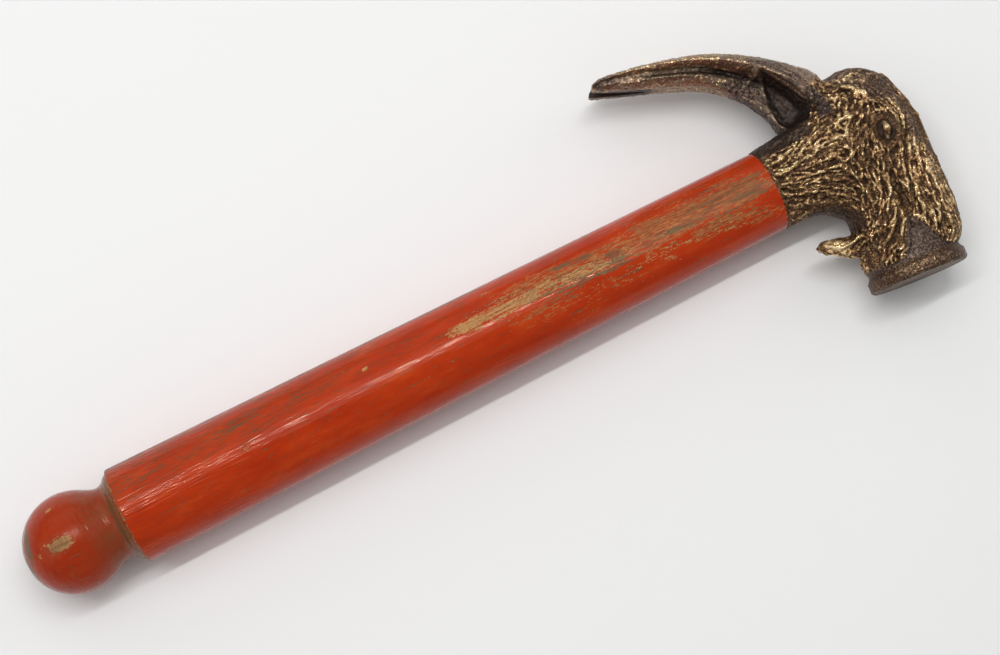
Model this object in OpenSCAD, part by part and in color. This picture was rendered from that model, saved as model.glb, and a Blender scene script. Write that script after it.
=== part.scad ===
// Claw hammer with a cast head in the shape of a horned goat and a turned handle.
// It lies on its side: +X runs from the pommel to the goat's brow, +Y to its horns,
// and the striking face looks along -Y. The mid-plane of the head is level.

/* [Handle] */
// Length of the grip, from the pommel's shoulder to the head's collar
grip_length = 239.6; // [180:0.1:280]
// Grip diameter where it meets the collar
grip_head_d = 28; // [26:0.1:31]
// Grip diameter at the pommel's shoulder
grip_end_d = 33.4; // [30:0.1:38]
// Rounding of the grip's shoulder edge
shoulder_round = 1.2; // [0.4:0.1:2]
// Diameter of the pommel ball
ball_d = 34; // [30:0.1:38]
// Distance from the grip's shoulder to the ball's centre
ball_reach = 18.4; // [17:0.1:24]
// Depth of the flat turned on the end of the ball
ball_flat = 0.7; // [0.3:0.1:2]
// Diameter at the bottom of the cove between grip and ball
cove_d = 25.4; // [20:0.1:28]
// Radius of the hollow where the cove rises to the grip's shoulder
cove_round = 2.8; // [1:0.1:3.2]

/* [Socket and tenon] */
// Diameter of the tenon that stands in the head
tenon_d = 17; // [13:0.1:20]
// Length of the tenon
tenon_length = 34; // [24:0.5:40]
// Gap round the tenon, filled with glue
tenon_gap = 0.1; // [0.05:0.05:0.3]
// Space left between the tenon's end and the bottom of the socket
socket_space = 0.4; // [0.3:0.1:3]
// Bevel round the tenon's end
tenon_bevel = 1; // [0.5:0.1:2]

/* [Fox wedge] */
// Length of the wedge
wedge_length = 20; // [12:0.5:22]
// Thickness of the wedge at its thick end
wedge_thick = 3.2; // [2:0.1:5]
// Thickness of the wedge at its thin end
wedge_thin = 1; // [0.6:0.1:1.5]
// Width of the wedge across the tenon
wedge_width = 15; // [8:0.5:15]

/* [Head] */
// Length of the head from the horns' top to the striking face, which sizes its carving
head_length = 110; // [98:0.5:122]
// How far the collar's rim stands proud of the grip
collar_step = 0.3; // [0.1:0.1:1]
// Width of the goat's head across the cheeks
cheek_w = 33.4; // [32:0.1:36]
// Thickness of the jaws where they close round the poll
lip = 1.5; // [0.5:0.1:2]
// Diameter of the goat's eyeball
eye_d = 5.6; // [4:0.1:7]

/* [Poll and striking face] */
// Diameter of the striking disc
face_d = 34.4; // [31:0.1:37]
// How far the disc stands proud of the poll held in the goat's mouth
disc_step = 1.2; // [0.4:0.1:2]
// Length of the poll, most of it inside the mouth
poll_length = 24; // [20:0.5:28]
// Thickness of the striking disc
face_t = 4.4; // [3:0.1:6]
// Worn bevel round the striking face
face_bevel = 0.8; // [0.3:0.1:1.5]
// Lean of the striking face against the handle, in degrees
face_lean = 5.6; // [0:0.1:8]

/* [Horns and claw] */
// Width across both horn tips
claw_tip_w = 20; // [18:0.1:26]
// Width across the horns at the crown
horn_base_w = 31; // [26:0.1:34]
// Thickness of the web between the two hollows at the horns' root
web_t = 7; // [5:0.1:10]
// Width of the nail slot at the horn tips
slot_mouth = 6.6; // [5:0.1:8]
// Width at the bottom of the nail slot
slot_root = 1.2; // [0.8:0.1:2]
// Depth of the nail slot
slot_depth = 18.5; // [12:0.5:24]

/* [Hidden] */
$fn = 96;
tiny = 0.01;

// The carving is drawn for a head 110 long and scaled. Its points are seen from the side,
// with the collar's centre at 0, 0
head_scale = head_length / 110;
face_c = [32.2, -49.2] * head_scale;
brow_x = 57.6 * head_scale;
horn_top_y = 59.2 * head_scale;
poll_d = face_d - 2 * disc_step;
jaw_w = poll_d / 2 + lip;
collar_r = grip_head_d / 2 + collar_step;
socket_r = tenon_d / 2 + tenon_gap;
socket_l = tenon_length + socket_space;
ball_x = -grip_length - ball_reach;
end_x = ball_x - ball_d / 2 + ball_flat;
face_low_y = face_c[1] - (face_d / 2 - face_bevel) * sin(face_lean);
half_h = max(face_d, 2 * jaw_w, cheek_w, ball_d) / 2;
home = [-(brow_x + end_x) / 2, -(horn_top_y + face_low_y) / 2, half_h];

// Curve through a list of rows, each row a list of numbers of the same length
function curve(a, b, c, d, t) =
    (2 * b + (c - a) * t + (2 * a - 5 * b + 4 * c - d) * t * t
    + (3 * b - a - 3 * c + d) * t * t * t) / 2;
function through(rows, steps) = [
    for (i = [0 : len(rows) - 2])
        for (s = [0 : steps - 1])
            curve(rows[max(i - 1, 0)], rows[i], rows[i + 1],
                rows[min(i + 2, len(rows) - 1)], s / steps),
    rows[len(rows) - 1]
];

// Closed skin over rings that all have the same number of points
module skin(rings) {
    n = len(rings[0]);
    m = len(rings);
    polyhedron(
        points = [for (r = rings) each r],
        faces = [
            for (i = [0 : m - 2])
                for (j = [0 : n - 1])
                    each [
                        [i * n + j, (i + 1) * n + j, i * n + (j + 1) % n],
                        [(i + 1) * n + j, (i + 1) * n + (j + 1) % n, i * n + (j + 1) % n]
                    ],
            [for (j = [0 : n - 1]) j],
            [for (j = [n - 1 : -1 : 0]) (m - 1) * n + j]
        ],
        convexity = 8
    );
}

// One oval ring: row = [ax, ay, bx, by, half width, shift of the widest place to b]
function oval(row, n) = [
    for (j = [0 : n - 1])
        let (c = cos(360 * j / n), s = sin(360 * j / n),
            u = (c - row[5] * s * s + 1) / 2)
        [row[2] + (row[0] - row[2]) * u, row[3] + (row[1] - row[3]) * u, row[4] * s]
];
// Rings run so that the skin faces outwards, whichever way the rows are written
function outward(rows) =
    let (a = [rows[0][0], rows[0][1]], b = [rows[0][2], rows[0][3]],
        c = [rows[1][0], rows[1][1]], d = [rows[1][2], rows[1][3]])
    cross(c + d - a - b, b - a) < 0
        ? rows : [for (i = [len(rows) - 1 : -1 : 0]) rows[i]];
module sweep(rows, steps, n) {
    skin([for (row = through(outward(rows), steps)) oval(row, n)]);
}

// Named sizes at the scale that the carving is drawn in
cr = collar_r / head_scale;
cw = cheek_w / 2 / head_scale;
jw = jaw_w / head_scale;
grow = poll_d / 2 / head_scale - 16;
ed = eye_d / head_scale;
wb = web_t / 2 / head_scale;
tip_w = claw_tip_w / 2 / head_scale;
crown_w = horn_base_w / 2 / head_scale;

// Neck, cheeks, crown and muzzle: each row joins the outline above to the outline below
head_rows = [
    [0, cr, 0, -cr, cr, 0],
    [3, cr + 0.3, 3, -cr - 0.1, cr + 0.3, 0],
    [8, 15, 8, -14.6, 15, 0],
    [14, 16.2, 13, -15.6, cw - 1.1, 0],
    [20, 18.6, 17.5, -19.3, cw - 0.6, 0],
    [27, 22.2, 21, -22.6, cw - 0.2, 0],
    [34.5, 25.4, 24, -25, cw, 0],
    [41, 26.2, 26, -27, cw, 0],
    [47.6, 24.2, 28, -28.4, cw, 0.05],
    [53, 19, 29.6, -29.2, cw, 0.1],
    [56.2, 12, 31, -29.6, cw - 0.1, 0.15],
    [57.4, 3, 32, -29.6, cw - 0.2, 0.2],
    [57.1, -7, 33, -29.2, cw - 0.2, 0.3],
    [56.6, -16, 33.8, -29, cw, 0.4],
    [55.9, -25, 34, -30.9, jw, 0.45],
    [55.1, -32, 36, -34, jw - 0.2, 0.45],
    [53.6, -38, 37, -38.4, jw - 0.9, 0.4],
    [52.4, -41.6, 36, -41.6, jw - 1.9, 0.35],
    [49.8, -44.4, 37.4, -44, jw - 4.2, 0.3]
];

// Lower jaw, closing round the poll from the beard's side
jaw_rows = [
    [24, -7, 44, -9, cw - 3.4, 0],
    [21, -13, 43, -14, cw - 1.2, 0],
    [19.4, -19, 41, -20, cw - 0.2, 0.1],
    [18.8 - grow, -24.6, 38, -26, jw - 0.3, 0.3],
    [17.8 - grow, -30.5, 36, -31, jw, 0.45],
    [17 - grow, -34.5, 34.2, -35.2, jw, 0.5],
    [16.4 - grow, -38, 32.6, -39, jw - 0.1, 0.5],
    [16.8 - grow, -41, 30, -42, jw - 1.4, 0.5]
];

// Main locks of hair and raised lines of the face, laid on the rings of the head and jaw:
// [half width, height, places as [ring, angle round it from the outline above]]
head_locks = [
    [1.5, 1, [[7.2, 74], [6.1, 70], [5.3, 68], [4.5, 64], [3.6, 64], [2.4, 70], [1.4, 74]]],
    [1.4, 1, [[7, 90], [5.6, 98], [4.7, 102], [3.6, 102], [2.6, 102], [1.7, 100], [1, 94]]],
    [1.8, 1.1, [[6.2, 42], [6.8, 46], [7.3, 52], [7.9, 58]]],
    [1.2, 0.9, [[7.6, 72], [8.1, 67], [8.6, 63], [9.1, 62], [9.5, 65], [9.7, 78]]],
    [1.1, 0.8, [[7.4, 80], [7.6, 96], [7.9, 112]]],
    [1.3, 0.9, [[8.9, 100], [9.3, 110], [10.5, 110], [11.6, 108]]],
    [1.2, 0.8, [[12.2, 100], [13.3, 94], [14.2, 88]]],
    [1.1, 0.8, [[8.2, 120], [8.6, 128], [8.2, 136], [7.8, 150]]],
    [1.2, 0.8, [[5.2, 108], [5.7, 116], [6.1, 128], [6.4, 140]]],
    [1.1, 0.8, [[6.3, 106], [6.6, 114], [7, 126], [7.3, 138]]],
    [1.4, 0.9, [[11.6, 48], [12.4, 52], [13.5, 54], [14.6, 56]]],
    [1.2, 0.9, [[10.6, 50], [10.9, 64], [11.5, 74], [12.5, 78]]],
    [1.4, 0.9, [[9.9, 28], [11, 26], [11.9, 26], [12.8, 22]]],
    [1.3, 0.9, [[6.9, 28], [7.7, 24], [8.4, 26], [9, 33]]],
    [1.3, 0.9, [[6.9, 40], [7.7, 40], [8.3, 44], [9, 50]]],
    [1.3, 0.8, [[8.7, 12], [9.4, 18], [10.1, 34]]],
    [1.2, 0.8, [[0.9, 54], [1.7, 52], [2.5, 56], [3.3, 58]]],
    [1.2, 0.8, [[0.9, 78], [1.9, 80], [2.8, 84], [3.8, 84]]],
    [1.2, 0.8, [[1, 112], [1.9, 119], [2.8, 124], [3.7, 124]]],
    [1.2, 0.8, [[0.9, 130], [1.6, 135], [2.4, 140], [3.2, 146]]],
    [1.2, 0.8, [[1.5, 36], [2.4, 34], [3.2, 38], [4.1, 46]]],
    [1.2, 0.8, [[4.2, 120], [5, 127], [5.6, 138], [6.1, 150]]],
    [1, 1, [[13.8, 128], [14.3, 115], [15.2, 112], [16.2, 112]]],
    [1, 0.6, [[15.2, 66], [16, 62], [17.2, 60]]]
];
jaw_locks = [
    [1.2, 0.9, [[3.6, 128], [4.9, 127], [5.8, 127], [6.5, 128]]],
    [1.2, 0.9, [[3.6, 98], [4.4, 94], [5.4, 82], [6, 66]]],
    [1.2, 0.9, [[3.2, 76], [4, 70], [4.8, 58], [5.3, 44]]]
];

function ring_at(rows, i) =
    let (k = min(floor(i), len(rows) - 2))
    curve(rows[max(k - 1, 0)], rows[k], rows[k + 1], rows[min(k + 2, len(rows) - 1)], i - k);
function on_skin(rows, place) =
    let (row = ring_at(rows, place[0]), c = cos(place[1]), s = sin(place[1]),
        u = (c - row[5] * s * s + 1) / 2)
    [row[2] + (row[0] - row[2]) * u, row[3] + (row[1] - row[3]) * u, row[4] * s];
function unit(v) = v / norm(v);
// One ring of a lock: it stands on the skin and is sunk a little into it
function lock_ring(rows, path, k, half, high) =
    let (m = len(path) - 1, p = path[k], at = on_skin(rows, p),
        ahead = unit(on_skin(rows, path[min(k + 1, m)]) - on_skin(rows, path[max(k - 1, 0)])),
        out = unit(cross(
            on_skin(rows, [p[0], p[1] + 2]) - on_skin(rows, [p[0], p[1] - 2]),
            on_skin(rows, [p[0] + 0.1, p[1]]) - on_skin(rows, [p[0] - 0.1, p[1]]))),
        n = out[2] < 0 ? -out : out, side = unit(cross(ahead, n)),
        t = min(k, m - k) == 0 ? 0.4 : 1)
    [
        for (q = [[-1, -0.8], [-0.4, high * t], [0.4, high * t], [1, -0.8]])
            at + side * (q[0] * half * t) + n * q[1]
    ];
module locks(rows, list) {
    for (side = [0, 1])
        mirror([0, 0, side])
            for (lock = list)
                let (path = through(lock[2], len(lock[2]) > 4 ? 1 : 2))
                    skin([
                        for (k = [0 : len(path) - 1]) lock_ring(rows, path, k, lock[0], lock[1])
                    ]);
}

// Beard, hooked back under the throat
beard_rows = [
    [26, -24, 24, -35, 9, 0],
    [20.5, -25.6, 18.6, -34.4, 7, 0],
    [15.8, -25.6, 15.2, -33, 5.8, 0],
    [11.6, -24.3, 11.6, -31, 4.8, 0],
    [8, -23.1, 8.2, -28.8, 3.8, 0],
    [6, -23.6, 6.2, -27, 2.6, 0],
    [5.3, -24.8, 5.4, -25.6, 0.9, 0]
];

// Ear, laid back along the neck
ear_rows = [
    [37, 5.2, 36.6, 1.8, 2, 0],
    [34, 8, 33.2, -0.6, 2.9, 0],
    [29, 8.8, 28, -3.2, 3.2, 0],
    [23, 8.4, 22, -4.4, 2.9, 0],
    [17, 7.2, 16.6, -4, 2.5, 0],
    [11, 5.4, 10.8, -3, 2.1, 0],
    [6, 3.6, 5.8, -1.6, 1.6, 0],
    [3.4, 1.8, 3.3, 0.4, 0.8, 0]
];

// Horns: [top x, y, underside x, y, blend from tip to crown, ridge place,
//         groove, belly, keel], the last three as half widths
horn_rows = [
    [-38, 57.6, -38.5, 56.5, 0, 0.3, 8.6, 8.2, 6.6],
    [-35.4, 59.1, -35.9, 55.2, 0.04, 0.26, 9, 8.8, 6],
    [-28.5, 58.7, -29.6, 52.5, 0.1, 0.24, 8.6, 9, 5.4],
    [-20.5, 57.2, -22.6, 49.7, 0.16, 0.24, 8.1, 9, 4.8],
    [-12.6, 55.5, -15.6, 46.9, 0.22, 0.25, 7.6, 8.9, 4.4],
    [-4.9, 53.4, -8.9, 44, 0.28, 0.26, 6.9, 8.4, 4.1],
    [1.7, 51.1, -3.6, 41.2, 0.34, 0.28, 6.1, 7.5, 3.9],
    [7.4, 48.4, 0.6, 38, 0.42, 0.3, wb + 1.5, wb + 2.6, wb + 0.2],
    [13.3, 45, 4.4, 34.4, 0.5, 0.32, wb + 0.6, wb + 0.9, wb],
    [19.6, 40.5, 7.9, 30, 0.6, 0.33, wb, wb, wb],
    [25.6, 35.4, 10.4, 25.4, 0.7, 0.34, wb, wb, wb],
    [30.2, 31, 12.2, 20.6, 0.76, 0.36, wb, wb, wb + 0.4],
    [33.4, 26.6, 13, 16.4, 0.74, 0.38, wb + 1, wb + 0.6, wb + 1.4],
    [35.6, 20.6, 15, 11, 0.4, 0.4, wb + 3, wb + 3, wb + 3]
];
function horn_side(row) =
    let (w = tip_w + (crown_w - tip_w) * row[4],
        g = row[5] * 1.65, l = 1 - g)
    [
        [0.01, w * 0.36], [row[5] * 0.3, w * 0.72], [row[5] * 0.7, w * 0.95],
        [row[5] * 1.1, w], [row[5] * 1.4, (w + row[6]) / 2 + 0.4], [g, row[6]],
        [g + l * 0.25, (row[6] + row[7]) / 2], [g + l * 0.55, row[7]],
        [g + l * 0.85, (row[7] + row[8]) / 2 + 0.3], [1, row[8]]
    ];
function horn_ring(row) =
    let (a = [row[0], row[1]], b = [row[2], row[3]], side = horn_side(row), m = len(side))
    [
        for (i = [0 : m - 1])
            let (p = a + (b - a) * side[i][0]) [p[0], p[1], side[i][1]],
        for (i = [m - 1 : -1 : 0])
            let (p = a + (b - a) * side[i][0]) [p[0], p[1], -side[i][1]]
    ];

module horns() {
    difference() {
        skin([for (row = through(horn_rows, 3)) horn_ring(row)]);
        translate([-38.4, 57, 0]) rotate([90, 0, -15.7]) scale(1 / head_scale) nail_slot();
    }
}

// Wedge-shaped slot between the horn tips, seen along the claw's thickness
module nail_slot() {
    out = slot_depth / 5;
    linear_extrude(height = claw_tip_w * 1.2, center = true)
        polygon([
            [-out, slot_mouth * 0.56], [0, slot_mouth / 2], [slot_depth, slot_root / 2],
            [slot_depth, -slot_root / 2], [0, -slot_mouth / 2], [-out, -slot_mouth * 0.56]
        ]);
}

module ears() {
    for (side = [0, 1])
        mirror([0, 0, side])
            translate([0, 0, cw - 2.3]) sweep(ear_rows, 2, 12);
}

// Round lids with the eyeball between them
module eyes() {
    for (side = [0, 1])
        mirror([0, 0, side])
            translate([41.6, -1, cw - 0.9]) {
                scale([0.9, 1.1, 1])
                    rotate_extrude($fn = 20)
                        translate([ed * 0.64, 0]) circle(d = ed * 0.44, $fn = 8);
                sphere(d = ed, $fn = 16);
            }
}

module sockets_of_eyes() {
    for (side = [0, 1])
        mirror([0, 0, side])
            translate([41.6, -1, cw + 1.2])
                scale([1, 1.2, 0.6]) sphere(d = ed * 1.43, $fn = 16);
}

module brow_ridges() {
    for (side = [0, 1])
        mirror([0, 0, side])
            translate([0, 0, cw - 3.2])
                sweep([
                    [35.4, 11, 36.4, 9, 1.6, 0],
                    [38.6, 12.6, 39.2, 8.8, 3, 0],
                    [43, 12, 42, 7.8, 3.4, 0],
                    [46.6, 8.4, 44, 6, 2.6, 0],
                    [48, 4.4, 46.4, 4, 1.2, 0]
                ], 2, 10);
}

module poll() {
    translate([face_c[0], face_c[1], 0])
        rotate([0, 0, -face_lean])
            rotate([-90, 0, 0])
                rotate_extrude()
                    polygon([
                        [0, 0],
                        [face_d / 2 - face_bevel, 0],
                        [face_d / 2, face_bevel],
                        [face_d / 2, face_t - face_bevel * 0.6],
                        [face_d / 2 - face_bevel / 2, face_t],
                        [poll_d / 2 + face_bevel / 4, face_t + face_bevel],
                        [poll_d / 2, face_t + face_bevel * 2.5],
                        [poll_d / 2, poll_length * 0.625],
                        [poll_d * 0.316, poll_length],
                        [0, poll_length]
                    ]);
}

module casting() {
    resize([0, 0, 2 * jaw_w]) scale(head_scale) union() {
        difference() {
            union() {
                sweep(head_rows, 2, 32);
                sweep(jaw_rows, 2, 28);
                brow_ridges();
            }
            sockets_of_eyes();
        }
        sweep(beard_rows, 2, 14);
        horns();
        ears();
        eyes();
        locks(head_rows, head_locks);
        locks(jaw_rows, jaw_locks);
    }
}

// Brass casting: neck, goat's head, horns, poll and disc, with a blind socket
module goat_head() {
    color("#6e5a36")
        translate(home)
            difference() {
                union() {
                    casting();
                    poll();
                }
                translate([-tiny, 0, 0]) rotate([0, 90, 0]) cylinder(r = socket_r, h = socket_l + tiny);
            }
}

// Half outline of the handle as [radius, place along it], from the pommel's end to the tenon's
function handle_outline() =
    let (rb = ball_d / 2, rc = cove_d / 2, h = cove_round, r = shoulder_round, xs = -grip_length,
        a0 = acos(1 - ball_flat / rb), a1 = 180 - asin(rc / rb))
    [
        [0, end_x],
        for (i = [0 : 30])
            let (a = a0 + (a1 - a0) * i / 30) [rb * sin(a), ball_x - rb * cos(a)],
        for (i = [0 : 6])
            let (a = 90 * i / 6) [rc + h - h * cos(a), xs - h + h * sin(a)],
        for (i = [0 : 6])
            let (a = 90 * i / 6) [grip_end_d / 2 - r + r * sin(a), xs + r - r * cos(a)],
        [grip_head_d / 2, 0],
        [tenon_d / 2, 0],
        [tenon_d / 2, tenon_length - tenon_bevel],
        [tenon_d / 2 - tenon_bevel, tenon_length],
        [0, tenon_length]
    ];

// The wedge, and the saw slit that it spreads open, which runs across the whole tenon
module wedge_shape(width) {
    linear_extrude(height = width, center = true)
        polygon([
            [tenon_length - wedge_length, -wedge_thin / 2], [tenon_length, -wedge_thick / 2],
            [tenon_length, wedge_thick / 2], [tenon_length - wedge_length, wedge_thin / 2]
        ]);
}

// Turned grip with its ball pommel and split tenon
module handle() {
    color("#b8431f")
        translate(home)
            difference() {
                rotate([0, 90, 0]) rotate_extrude() polygon(handle_outline());
                wedge_shape(tenon_d + 2);
            }
}

// Hardwood wedge, driven into the tenon's slit as the head goes on
module fox_wedge() {
    color("#b98d5a")
        translate(home) wedge_shape(wedge_width);
}

goat_head();
handle();
fox_wedge();
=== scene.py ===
import math

import bmesh
import bpy
import numpy as np
from mathutils import Matrix, Vector
from mathutils.bvhtree import BVHTree


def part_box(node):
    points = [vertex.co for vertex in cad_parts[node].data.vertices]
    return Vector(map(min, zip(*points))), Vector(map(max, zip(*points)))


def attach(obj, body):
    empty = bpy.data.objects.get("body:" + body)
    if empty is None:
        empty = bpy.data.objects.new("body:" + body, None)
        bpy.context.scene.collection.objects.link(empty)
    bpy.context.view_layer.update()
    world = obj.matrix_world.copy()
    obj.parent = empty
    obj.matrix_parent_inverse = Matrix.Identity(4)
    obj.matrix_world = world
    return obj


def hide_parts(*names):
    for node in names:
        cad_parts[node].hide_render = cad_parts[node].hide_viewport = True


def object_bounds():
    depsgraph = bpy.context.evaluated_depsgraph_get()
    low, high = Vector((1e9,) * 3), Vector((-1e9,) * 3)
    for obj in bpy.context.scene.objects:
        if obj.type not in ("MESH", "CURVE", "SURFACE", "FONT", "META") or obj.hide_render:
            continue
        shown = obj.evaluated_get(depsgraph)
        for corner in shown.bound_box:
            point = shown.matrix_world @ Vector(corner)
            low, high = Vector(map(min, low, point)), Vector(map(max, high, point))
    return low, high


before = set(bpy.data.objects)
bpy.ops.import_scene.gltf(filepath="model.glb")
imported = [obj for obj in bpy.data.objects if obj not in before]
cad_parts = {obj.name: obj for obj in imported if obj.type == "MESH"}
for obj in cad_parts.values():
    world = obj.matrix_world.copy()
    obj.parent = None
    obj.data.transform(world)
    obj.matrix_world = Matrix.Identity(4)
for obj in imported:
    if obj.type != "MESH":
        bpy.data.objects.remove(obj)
cadBox = [list(corner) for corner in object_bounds()]
print("frame loaded")

mm = 0.001
photoSize = (1000, 655)
pommelReach = 274.3  # mm from the pommel's end to the collar

# The collar's centre, on the line that the grip is turned round
handleLow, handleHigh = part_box("handle")
home = np.array([
    handleLow[0] + pommelReach * mm,
    (handleLow[1] + handleHigh[1]) / 2,
    (handleLow[2] + handleHigh[2]) / 2,
])

cameraPlace = {
    "eye": (-169.05, -70.15, 690.0),  # mm from the collar's centre
    "target": (-102.05, -0.15, 0.0),
    "roll": 26.99,  # degrees
    "lens": 75.25,
    "sensor": 36.0,
    "nearest": 0.01,
}


def unit(v):
    return v / np.linalg.norm(v)


def lengths(rows):
    return np.linalg.norm(rows, axis=1)


eye = np.array(cameraPlace["eye"]) * mm + home
sight = unit(np.array(cameraPlace["target"]) * mm + home - eye)
rollAngle = math.radians(cameraPlace["roll"])
level = np.array([math.cos(rollAngle), -math.sin(rollAngle), 0.0])
rightward = unit(level - sight * np.dot(level, sight))
upward = np.cross(rightward, sight)
focal = cameraPlace["lens"] / cameraPlace["sensor"] * photoSize[0]  # in photo pixels


def addObject(name, data):
    obj = bpy.data.objects.new(name, data)
    bpy.context.collection.objects.link(obj)
    return obj


# A camera or lamp at a place, with its right, up and back directions
def standAt(name, data, place, directions):
    obj = addObject(name, data)
    turn = Matrix(directions).transposed().to_4x4()
    obj.matrix_world = Matrix.Translation(Vector(place)) @ turn
    return obj


def placeCamera():
    lens = bpy.data.cameras.new("photo_camera")
    lens.lens = cameraPlace["lens"]
    lens.sensor_width = cameraPlace["sensor"]
    lens.clip_start = cameraPlace["nearest"]
    directions = (rightward, upward, -sight)
    bpy.context.scene.camera = standAt("photo_camera", lens, eye, directions)


mmPerPixel = np.linalg.norm(eye - home) / focal / mm


# Direction of the ray through a pixel of the photograph
def sightLine(px, py):
    return unit(
        sight
        + rightward * ((px - photoSize[0] / 2) / focal)
        - upward * ((py - photoSize[1] / 2) / focal)
    )


# Place under a pixel at a given height above the floor
def onLevel(px, py, height):
    ray = sightLine(px, py)
    return eye + ray * ((height - eye[2]) / ray[2])


# Lamps: place in metres from the middle of the hammer, size and power
lights = {
    "lamps": [
        ("key_strip", (-0.05, 0.27, 1.2), (1.1, 0.045), 5.2),
        ("key_softbox", (-0.05, 0.32, 1.25), (1.2, 0.8), 4.4),
        ("window", (-0.1, 1.3, 0.9), (1.6, 1.2), 3.4),
        ("left_softbox", (-1.5, 0.1, 1.1), (1.4, 1.4), 4.0),
        ("right_softbox", (1.5, 0.25, 1.1), (1.4, 1.4), 4.5),
    ],
    "sky": 0.29,
    "middle": (-0.1, 0.0),  # of the hammer, in metres from the collar
}

floorLook = {"half": 4.0, "colour": (0.88, 0.88, 0.875), "roughness": 0.7}


def addLamp(name, place, size, power):
    lamp = bpy.data.lights.new(name, "AREA")
    lamp.shape = "RECTANGLE"
    lamp.size, lamp.size_y = size
    lamp.energy = power
    middle = Vector((home[0] + lights["middle"][0], home[1] + lights["middle"][1], 0.0))
    place = Vector(place) + middle
    back = (place - middle).normalized()
    # a lamp beyond an end of the handle lies across it, the others along it
    side = Vector((0, 1, 0)) if abs(back.x) > 0.5 else Vector((1, 0, 0))
    side = (side - back * side.dot(back)).normalized()
    standAt(name, lamp, place, (side, back.cross(side), back))


def makeMaterial(name):
    mat = bpy.data.materials.new(name)
    mat.use_nodes = True
    return mat


# Numbers, colours or other nodes' outputs, set on a node's sockets
def feed(mat, node, values):
    for key, value in values.items():
        if isinstance(value, (int, float)):
            node.inputs[key].default_value = value
        elif isinstance(value, tuple):
            node.inputs[key].default_value = (*value, 1.0)
        else:
            mat.node_tree.links.new(value, node.inputs[key])


def dress(mat, looks):
    feed(mat, mat.node_tree.nodes["Principled BSDF"], looks)


def addStage():
    for lamp in lights["lamps"]:
        addLamp(*lamp)
    world = bpy.data.worlds.new("studio")
    world.use_nodes = True
    world.node_tree.nodes["Background"].inputs["Color"].default_value = (1, 1, 1, 1)
    world.node_tree.nodes["Background"].inputs["Strength"].default_value = lights["sky"]
    bpy.context.scene.world = world
    bpy.context.scene.view_settings.view_transform = "Standard"
    mesh = bpy.data.meshes.new("floor")
    half = floorLook["half"]
    mesh.from_pydata(
        [(-half, -half, 0), (half, -half, 0), (half, half, 0), (-half, half, 0)],
        [], [(0, 1, 2, 3)],
    )
    mat = makeMaterial("pale_floor")
    dress(mat, {"Base Color": floorLook["colour"], "Roughness": floorLook["roughness"]})
    mesh.materials.append(mat)
    floor = addObject("floor", mesh)


placeCamera()
addStage()
print("camera, floor and lamps placed")


def readArray(items, name, width, kind=float):
    values = np.empty(len(items) * width, kind)
    items.foreach_get(name, values)
    return values.reshape(-1, width)


# Points, in mm from the collar's centre
def readPoints(mesh):
    return (readArray(mesh.vertices, "co", 3) - home) / mm


def writePoints(mesh, points):
    mesh.vertices.foreach_set("co", (points * mm + home).astype(np.float32).ravel())
    mesh.update()


def surfaceTree(mesh):
    points = [v.co for v in mesh.vertices]
    return BVHTree.FromPolygons(points, [tuple(f.vertices) for f in mesh.polygons])


# The place on a surface that is nearest to a point
def nearestOn(tree, point):
    hit = tree.find_nearest(Vector(point * mm + home))[0]
    return (np.array(hit) - home) / mm


# The place on a surface that shows at a pixel of the photograph
def seenAt(tree, px, py):
    hit = tree.ray_cast(Vector(eye), Vector(sightLine(px, py)))[0]
    return None if hit is None else (np.array(hit) - home) / mm


# The object's mesh with its modifiers applied
def appliedMesh(obj):
    graph = bpy.context.evaluated_depsgraph_get()
    return bpy.data.meshes.new_from_object(obj.evaluated_get(graph), depsgraph=graph)


def addAttribute(mesh, name, values):
    layer = mesh.attributes.new(name, "FLOAT", "POINT")
    layer.data.foreach_set("value", values.astype(np.float32))


# Relax values over the mesh; hold is each point's share of the move
def smoothOver(values, edges, times, hold=None):
    a, b = edges[:, 0], edges[:, 1]
    n = len(values)
    count = np.bincount(a, minlength=n) + np.bincount(b, minlength=n)
    out = values.reshape(n, -1).copy()
    move = 0.5 if hold is None else 0.5 * hold[:, None]
    for _ in range(times):
        near = np.stack([
            np.bincount(a, out[b, k], n) + np.bincount(b, out[a, k], n)
            for k in range(out.shape[1])
        ], 1) / count[:, None]
        out += (near - out) * move
    return out.reshape(values.shape)


# 0 at low, 1 at high and smooth between, also where low is the greater
def ramp(low, high, x):
    t = np.clip((x - low) / (high - low), 0, 1)
    return t * t * (3 - 2 * t)


# 1 in the middle, falling away to both sides
def bell(x, middle, width):
    return np.exp(-((x - middle) / width) ** 2)


# Smooth random values from 0 to 1, one change every cell mm
def speckle(points, cell, seed):
    q = points / cell + 1000.0  # the cells' numbers stay above zero
    base = np.floor(q).astype(np.int64)
    f = q - base
    f = f * f * (3 - 2 * f)
    total = np.zeros(len(points))
    for corner in range(8):
        step = np.array([corner & 1, corner >> 1 & 1, corner >> 2 & 1])
        c = base + step
        # stir each corner's numbers and the seed into 16 random bits
        h = (c[:, 0] * 73856093) ^ (c[:, 1] * 19349663) ^ (c[:, 2] * 83492791) ^ (seed * 2654435)
        h = (h ^ (h >> 13)) * 1274126177 & 0xFFFFFFFF
        h = (h ^ (h >> 16)) & 0xFFFF
        w = np.prod(np.where(step, f, 1 - f), 1)
        total += w * h / 65535.0
    return total


# Smooth curve through rows of numbers, with this many steps from row to row
def curveThrough(rows, steps):
    out = []
    last = len(rows) - 1
    for i in range(last):
        a, b = rows[max(i - 1, 0)], rows[i]
        c, d = rows[i + 1], rows[min(i + 2, last)]
        for s in range(steps):
            t = s / steps
            out.append((
                2 * b + (c - a) * t + (2 * a - 5 * b + 4 * c - d) * t ** 2
                + (3 * b - a - 3 * c + d) * t ** 3
            ) / 2)
    out.append(rows[last])
    return out


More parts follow.
